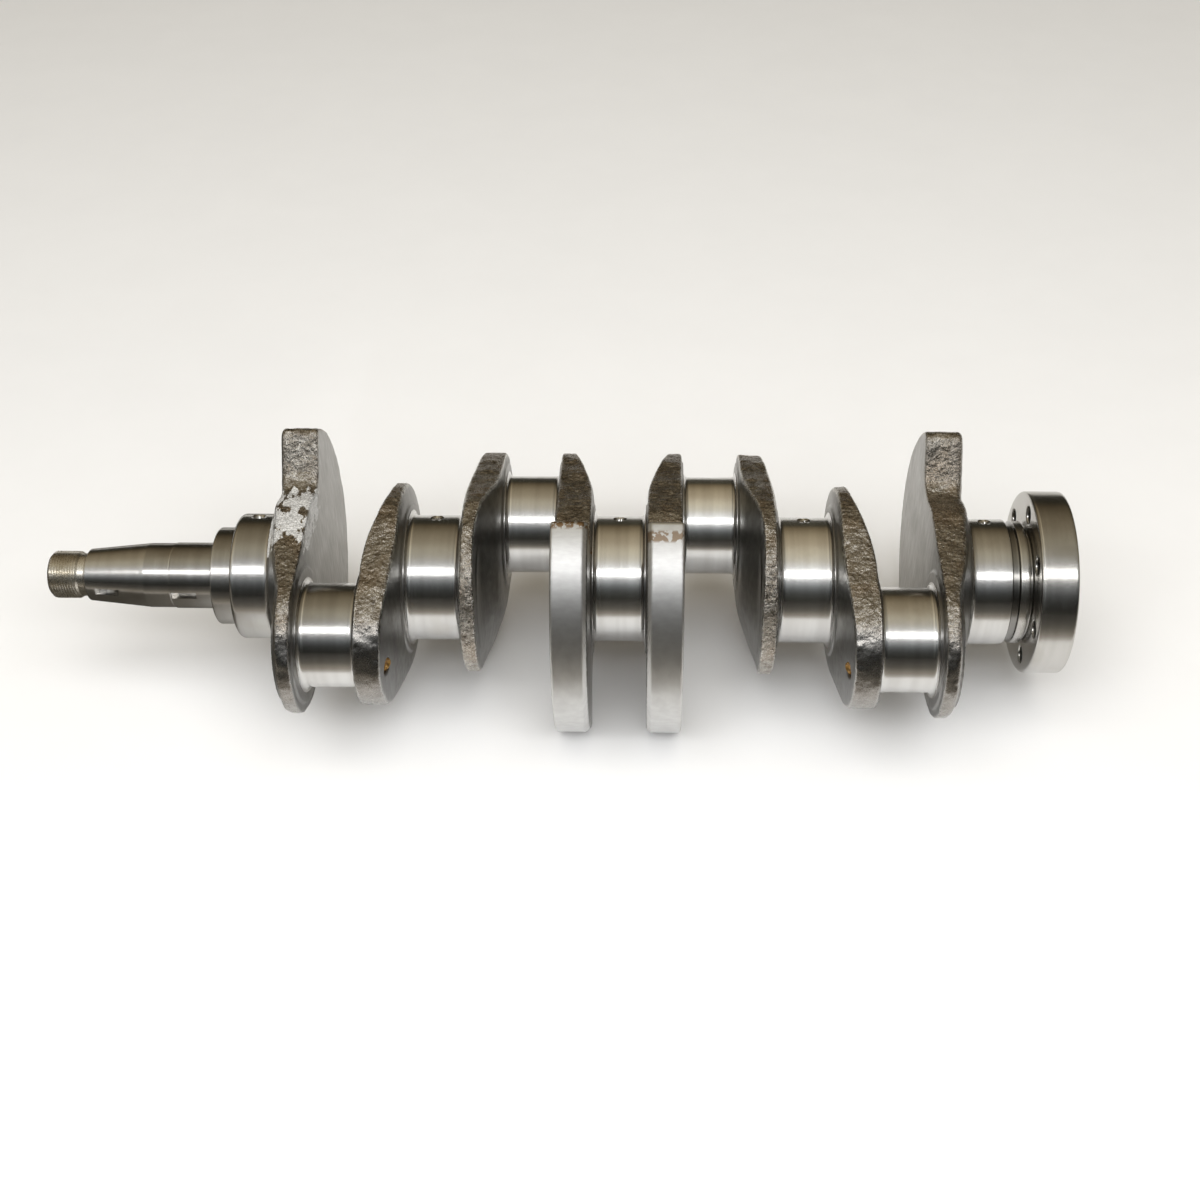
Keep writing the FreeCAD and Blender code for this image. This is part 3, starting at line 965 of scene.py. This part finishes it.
def build_collar():
    """The front collar, its edges lightly rounded."""
    start, end = span("front_seal_collar")
    radius = radius_of("front_seal_collar")
    profile = rounded_profile([
        (start, 18.6), (start, radius, 0.9), (end - 0.5, radius, 0.4), (end, radius + 0.5),
    ])
    grid = turned_grid(filled_profile(profile, 1.5))
    stand_for(closed_turning("turned_collar", grid), "front_seal_collar", TURNED)


build_thread()
build_taper()
build_gear_seat()
build_collar()


# ---------- flange
def build_seal_land():
    """The oil groove, the seal's land and the neck in front of the flange."""
    start, end = span("rear_seal_land")
    land = radius_of("rear_seal_land")
    groove, neck = 33.0, 32.0
    profile = rounded_profile([
        (start, MAIN_RADIUS - 0.4), (start + 0.5, groove, 0.6),
        (start + 4.2, groove, 0.8), (start + 4.6, land, 0.5), (start + 9.4, land, 0.5),
        (start + 9.7, neck, 0.7), (end - 0.4, neck, 0.7), (end, neck + 1.5),
    ])
    profile = filled_profile(profile, 0.8)
    grid = turned_grid(profile)
    piece = closed_turning("turned_seal_land", grid)
    points = np.concatenate([grid.reshape(-1, 3), np.zeros((2, 3))])
    from_start = points[:, 0] - start
    # Painted shade, strongest in the oil groove and weaker on the neck before the flange, kept as
    # the groove attribute.
    groove_painted_shade = blend_step(0.2, 0.5, from_start) * blend_step(4.6, 4.3, from_start)
    store(piece, "groove", 0.8 * groove_painted_shade + 0.5 * (from_start > 9.8))
    stand_for(piece, "rear_seal_land", TURNED)


def flange_field(front, radius):
    """The distance field of the flange: rim, bolt holes and the pilot bearing's seat."""
    def field(x, y, z):
        far = np.hypot(y, z)
        body = smooth_max(far - radius, np.maximum(front - x, x), 1.6)
        seat = np.maximum(far - SEAT_RADIUS, -SEAT_DEPTH - x)
        bore = np.maximum(far - BORE_RADIUS, -BORE_DEPTH - x)
        seat = np.minimum(seat, bore)
        body = smooth_max(body, -seat, 0.8)
        for number in range(BOLT_COUNT):
            turn = math.pi + number * 2 * math.pi / BOLT_COUNT
            bolt_y, bolt_z = BOLT_CIRCLE * math.cos(turn), BOLT_CIRCLE * math.sin(turn)
            bolt = np.hypot(y - bolt_y, z - bolt_z) - BOLT_HOLE_RADIUS
            body = smooth_max(body, -bolt, 1.0)
        return body

    return field


def build_flange():
    """The flywheel flange with its bolt holes."""
    front, rear = span("flywheel_flange")
    radius = radius_of("flywheel_flange")
    reach = radius + 2
    points, quads = surface_nets(
        flange_field(front, radius), (front - 1.5, -reach, -reach), (rear + 1.5, reach, reach), 0.8
    )
    piece = mesh_object("turned_flange", points, quads, 35)
    stand_for(piece, "flywheel_flange", TURNED)


build_seal_land()
build_flange()


# ---------- oil plugs
def build_plug(node):
    """A gallery plug with a dished, staked face, square to its drilling."""
    low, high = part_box(node)
    centre = (low + high) / 2 / MM
    number = int(node[-1])
    main = {1: 1, 2: 2, 3: 4, 4: 5}[number]
    source = Vector((middle(f"main_journal_{main}"), 0, 0))
    along = (centre - source).normalized()
    profile = rounded_profile([
        (-2, 0.05), (-2, 4.0, 0.3), (1.7, 4.0, 0.5), (2.0, 3.2, 0.2), (0.9, 2.0, 0.6), (0.5, 0.05),
    ])
    grid = turned_grid(filled_profile(profile, 0.6), 48)
    piece = closed_turning(f"staked_{node}", grid)
    turn = Vector((1, 0, 0)).rotation_difference(along).to_matrix().to_4x4()
    piece.data.transform(Matrix.Translation(centre * MM) @ turn)
    stand_for(piece, node, BRASS)


for plug_number in range(4):
    build_plug(f"oil_plug_{plug_number + 1}")


# ---------- pilot bearing
BALL_RADIUS = 3.375
BALL_PITCH = 14.25
BALL_COUNT = 8
bearing_start, bearing_end = span("pilot_bearing_outer_ring")
bearing_middle = (bearing_start + bearing_end) / 2


def race_profile(outer, inner, groove_outward):
    """A bearing ring's section with rounded corners and its ball groove."""
    groove = BALL_RADIUS * 1.04
    turns = np.linspace(-0.9, 0.9, 15) * math.asin(min(1, 2.75 / groove))
    way = 1 if groove_outward else -1
    centre = BALL_PITCH + way * (groove - BALL_RADIUS - 0.04)
    curve = [
        (bearing_middle + way * groove * math.sin(a), centre - way * groove * math.cos(a))
        for a in turns
    ]
    corners = [
        (bearing_start, (outer + inner) / 2), (bearing_start, outer, 0.6),
    ]
    if groove_outward:
        corners += [(curve[0][0] - 0.4, outer)]
        top = rounded_profile(corners) + curve
        rest = rounded_profile([
            (curve[-1][0] + 0.4, outer), (bearing_end, outer, 0.6), (bearing_end, inner, 0.6),
            (bearing_start, inner, 0.6), (bearing_start, (outer + inner) / 2),
        ])
        return (top + rest)[:-1]
    top = rounded_profile(corners + [
        (bearing_end, outer, 0.6), (bearing_end, inner, 0.6), (curve[0][0] + 0.4, inner),
    ])
    rest = rounded_profile([
        (curve[-1][0] - 0.4, inner), (bearing_start, inner, 0.6),
        (bearing_start, (outer + inner) / 2),
    ])
    return (top + curve + rest)[:-1]


def build_rings():
    """Both bearing rings."""
    outer = looped_turning("bearing_outer_ring", race_profile(20.0, 17.2, False))
    stand_for(outer, "pilot_bearing_outer_ring", RACE)
    inner = looped_turning("bearing_inner_ring", race_profile(11.3, 8.5, True))
    stand_for(inner, "pilot_bearing_inner_ring", RACE)


def build_balls():
    """Eight balls as one piece, each a grid of points pushed out onto a sphere."""
    points = []
    faces = []
    size = 12
    for number in range(BALL_COUNT):
        turn = number * 2 * math.pi / BALL_COUNT
        centre = np.array([
            bearing_middle, BALL_PITCH * math.cos(turn), BALL_PITCH * math.sin(turn)
        ])
        ball, quads = surface_nets(
            lambda x, y, z: np.sqrt(x * x + y * y + z * z) - BALL_RADIUS,
            (-4,) * 3, (4,) * 3, 8 / size,
        )
        faces.append(quads + sum(len(p) for p in points))
        points.append(ball + centre)
    piece = mesh_object("bearing_balls", np.concatenate(points), np.concatenate(faces), 0)
    stand_for(piece, "pilot_bearing_balls", RACE)


def build_cage():
    """A pressed cage that keeps the balls apart."""
    def field(x, y, z):
        far = np.hypot(y, z)
        band = np.maximum(np.abs(far - BALL_PITCH) - 0.6, np.abs(x - bearing_middle) - 4.2)
        turn = (np.arctan2(z, y) + math.pi / BALL_COUNT) % (2 * math.pi / BALL_COUNT)
        turn = turn - math.pi / BALL_COUNT
        nearest = np.sqrt(
            (far * np.cos(turn) - BALL_PITCH) ** 2 + (far * np.sin(turn)) ** 2
            + (x - bearing_middle) ** 2
        )
        return smooth_max(band, BALL_RADIUS + 0.12 - nearest, 0.3)

    points, quads = surface_nets(
        field, (bearing_start, -16, -16), (bearing_end, 16, 16), 0.4
    )
    piece = mesh_object("bearing_cage", points, quads, 50)
    stand_for(piece, "pilot_bearing_cage", CAGE)


def build_shield(node, outward):
    """A pressed shield with a raised middle band and rolled edges."""
    start, end = span(node)
    back, front = (start, end) if outward > 0 else (end, start)
    lift = (front - back) * 0.9
    outline = [
        (back, 17.2), (back, 16.2), (back + lift * 0.2, 15.6), (back + lift * 0.2, 13.0),
        (back, 12.3), (back, 11.8), (front, 11.8), (front, 12.4),
        (front + lift * 0.2, 13.1), (front + lift * 0.2, 15.5), (front, 16.1), (front, 17.2),
    ]
    if outward < 0:
        outline = outline[::-1]
    piece = looped_turning(f"bearing_{node[14:]}", outline[::-1])
    stand_for(piece, node, SHIELD)


build_rings()
build_balls()
build_cage()
build_shield("pilot_bearing_front_shield", -1)
build_shield("pilot_bearing_rear_shield", 1)


# ---------- floor, light, camera
CENTRE = Vector((middle("main_journal_3"), 0, 0)) * MM
AZIMUTH = math.radians(1.4)
ELEVATION = math.radians(38.8)
DISTANCE = 0.912
ROLL = math.radians(-0.42)
FRAME_PIXELS = 1200
FOCAL_PIXELS = 1602
SHIFT_PIXELS = (-20.0, -21.3)
SENSOR_MM = 36
floor_height = cad_bounds[0][2]


def stage_material(name, colour, roughness):
    """A plain stage material with a faint mottle."""
    make = Shader(name, metallic=0.0)
    mottle = make.noise(0.02, 3.0)
    shade = make.mix(make.span(mottle, 0.3, 0.7), colour, tuple(c * 0.985 for c in colour))
    return make.finish(shade, roughness)


def stage_object(name, points, faces, material):
    """A stage object from points in metres."""
    mesh = bpy.data.meshes.new(name)
    mesh.from_pydata(points, [], faces)
    mesh.materials.append(material)
    item = bpy.data.objects.new(name, mesh)
    bpy.context.scene.collection.objects.link(item)
    return item


def stage_sheet(name, x_span, y_span, height, material):
    """A flat rectangular stage object."""
    (x0, x1), (y0, y1) = x_span, y_span
    corners = [(x0, y0, height), (x1, y0, height), (x1, y1, height), (x0, y1, height)]
    return stage_object(name, corners, [(0, 1, 2, 3)], material)


def build_floor():
    """A plain pale floor."""
    size = 6.0
    material = stage_material("floor", (0.86, 0.86, 0.86), 0.7)
    stage_sheet("floor", (-size, size), (-size, size), floor_height, material)


def build_card(name, x_span, y_span, axis, stops):
    """A dull card on the floor, to be mirrored in the shaft and not seen itself.

    Its colour changes along an axis, by (place in metres, colour) stops.
    """
    make = Shader(name, metallic=0.0)
    first, last = stops[0][0], stops[-1][0]
    fade = make.span(make.axis(axis), first / MM, last / MM)
    shade = make.ramp(fade, [((place - first) / (last - first), c) for place, c in stops])
    card = stage_sheet(name, x_span, y_span, floor_height + 0.002, make.finish(shade, 0.8))
    card.visible_camera = False
    card.visible_diffuse = False
    card.visible_shadow = False


def build_backdrop():
    """A plain pale dome for views that look past the floor, seen by the camera only."""
    radius, around, rise = 2.6, 64, 16
    points = []
    for i in range(rise):
        up = math.pi / 2 * i / rise
        for j in range(around):
            turn = 2 * math.pi * j / around
            flat = radius * math.cos(up)
            points.append((
                CENTRE.x + flat * math.cos(turn), flat * math.sin(turn),
                floor_height + radius * math.sin(up),
            ))
    points.append((CENTRE.x, 0, floor_height + radius))
    faces = ring_faces(rise, around).tolist()
    last = (rise - 1) * around
    faces += [(last + j, last + (j + 1) % around, len(points) - 1) for j in range(around)]
    material = stage_material("backdrop", (0.02, 0.02, 0.02), 0.9)
    shader = material.node_tree.nodes["Principled BSDF"]
    shader.inputs["Emission Color"].default_value = (0.84, 0.83, 0.81, 1)
    shader.inputs["Emission Strength"].default_value = 1.0
    dome = stage_object("backdrop", points, faces, material)
    dome.visible_diffuse = False
    dome.visible_glossy = False
    dome.visible_transmission = False
    dome.visible_shadow = False


def area_light(name, elevation, distance, size, power):
    """A rectangular light aimed at the shaft, on the camera's side and not seen itself."""
    data = bpy.data.lights.new(name, "AREA")
    data.shape = "RECTANGLE"
    data.size, data.size_y = size
    data.energy = power
    lamp = bpy.data.objects.new(name, data)
    up = math.radians(elevation)
    direction = Vector((0, -math.cos(up), math.sin(up)))
    lamp.location = CENTRE + direction * distance
    lamp.rotation_euler = direction.to_track_quat("Z", "Y").to_euler()
    lamp.visible_camera = False
    bpy.context.scene.collection.objects.link(lamp)
    return lamp


def build_world():
    """Soft surroundings: warm grey above and behind, dark in front and low."""
    world = bpy.data.worlds.new("studio")
    bpy.context.scene.world = world
    make = NodeTree(world)
    parts = make.nodes.new("ShaderNodeSeparateXYZ")
    make.feed(parts.inputs[0], make.nodes.new("ShaderNodeTexCoord").outputs["Generated"])
    forward = make.maths("MULTIPLY", parts.outputs["Y"], -1.0)
    turn = make.maths("DEGREES", make.maths("ARCTAN2", parts.outputs["Z"], forward))
    around = make.ramp(make.span(turn, 0, 180), [(angle / 180, c) for angle, c in SKY])
    along = make.ramp(
        make.maths("ADD", parts.outputs["X"], 0.5),
        [(place + 0.5, (level, level, level)) for place, level in SKY_ALONG],
    )
    background = make.nodes["Background"]
    background.inputs["Strength"].default_value = 1.0
    make.feed(background.inputs["Color"], make.mix(1.0, around, along, "MULTIPLY"))


# The sky's colour at angles round the shaft: 0 in front, 90 overhead, 180 behind
SKY = [
    (0, (0.036, 0.034, 0.028)), (13, (0.065, 0.067, 0.062)), (20, (0.11, 0.115, 0.115)),
    (27, (0.22, 0.235, 0.24)), (35, (0.52, 0.54, 0.55)), (48, (1.05, 1.05, 1.05)),
    (60, (1.02, 1.02, 1.00)), (74, (0.78, 0.73, 0.61)), (90, (0.72, 0.65, 0.49)),
    (107, (0.51, 0.43, 0.30)), (126, (0.39, 0.32, 0.21)), (147, (0.19, 0.145, 0.085)),
    (158, (0.05, 0.045, 0.03)), (180, (0.09, 0.085, 0.07)),
]

# How strong the sky is along the shaft, by the X part of the direction
SKY_ALONG = [
    (-0.48, 0.80), (-0.33, 0.66), (-0.23, 0.42), (-0.11, 0.64), (0.0, 1.14), (0.055, 1.34),
    (0.11, 1.14), (0.17, 0.68), (0.26, 0.48),
]


def build_camera():
    """The camera looks along +Y and down at the middle of the shaft."""
    data = bpy.data.cameras.new("camera")
    data.sensor_width = SENSOR_MM
    data.lens = FOCAL_PIXELS * SENSOR_MM / FRAME_PIXELS
    data.shift_x = SHIFT_PIXELS[0] / FRAME_PIXELS
    data.shift_y = SHIFT_PIXELS[1] / FRAME_PIXELS
    camera = bpy.data.objects.new("camera", data)
    level = math.cos(ELEVATION)
    back = Vector((math.sin(AZIMUTH) * level, -math.cos(AZIMUTH) * level, math.sin(ELEVATION)))
    camera.location = CENTRE + back * DISTANCE
    aim = back.to_track_quat("Z", "Y").to_matrix() @ Matrix.Rotation(ROLL, 3, "Z")
    camera.rotation_euler = aim.to_euler()
    bpy.context.scene.collection.objects.link(camera)
    bpy.context.scene.camera = camera


build_floor()
build_backdrop()
build_card("card", (-3, 2.5), (-6, -0.14), "Y", [
    (-0.50, (0.028, 0.025, 0.02)), (-0.26, (0.075, 0.068, 0.055)),
    (-0.17, (0.25, 0.225, 0.19)), (-0.14, (0.50, 0.48, 0.45)),
])
build_card("card_nose", (-2, -0.45), (-0.14, 0.40), "X", [
    (-0.56, (0.05, 0.045, 0.035)), (-0.51, (0.15, 0.14, 0.125)), (-0.45, (0.80, 0.80, 0.79)),
])
build_world()
area_light("key_strip", 49, 1.3, (1.9, 0.2), 6.0)
floor_light = area_light("floor_light", 58, 2.4, (3.0, 3.0), 70)
floor_light.visible_glossy = False
build_camera()
bpy.context.scene.view_settings.view_transform = "Standard"
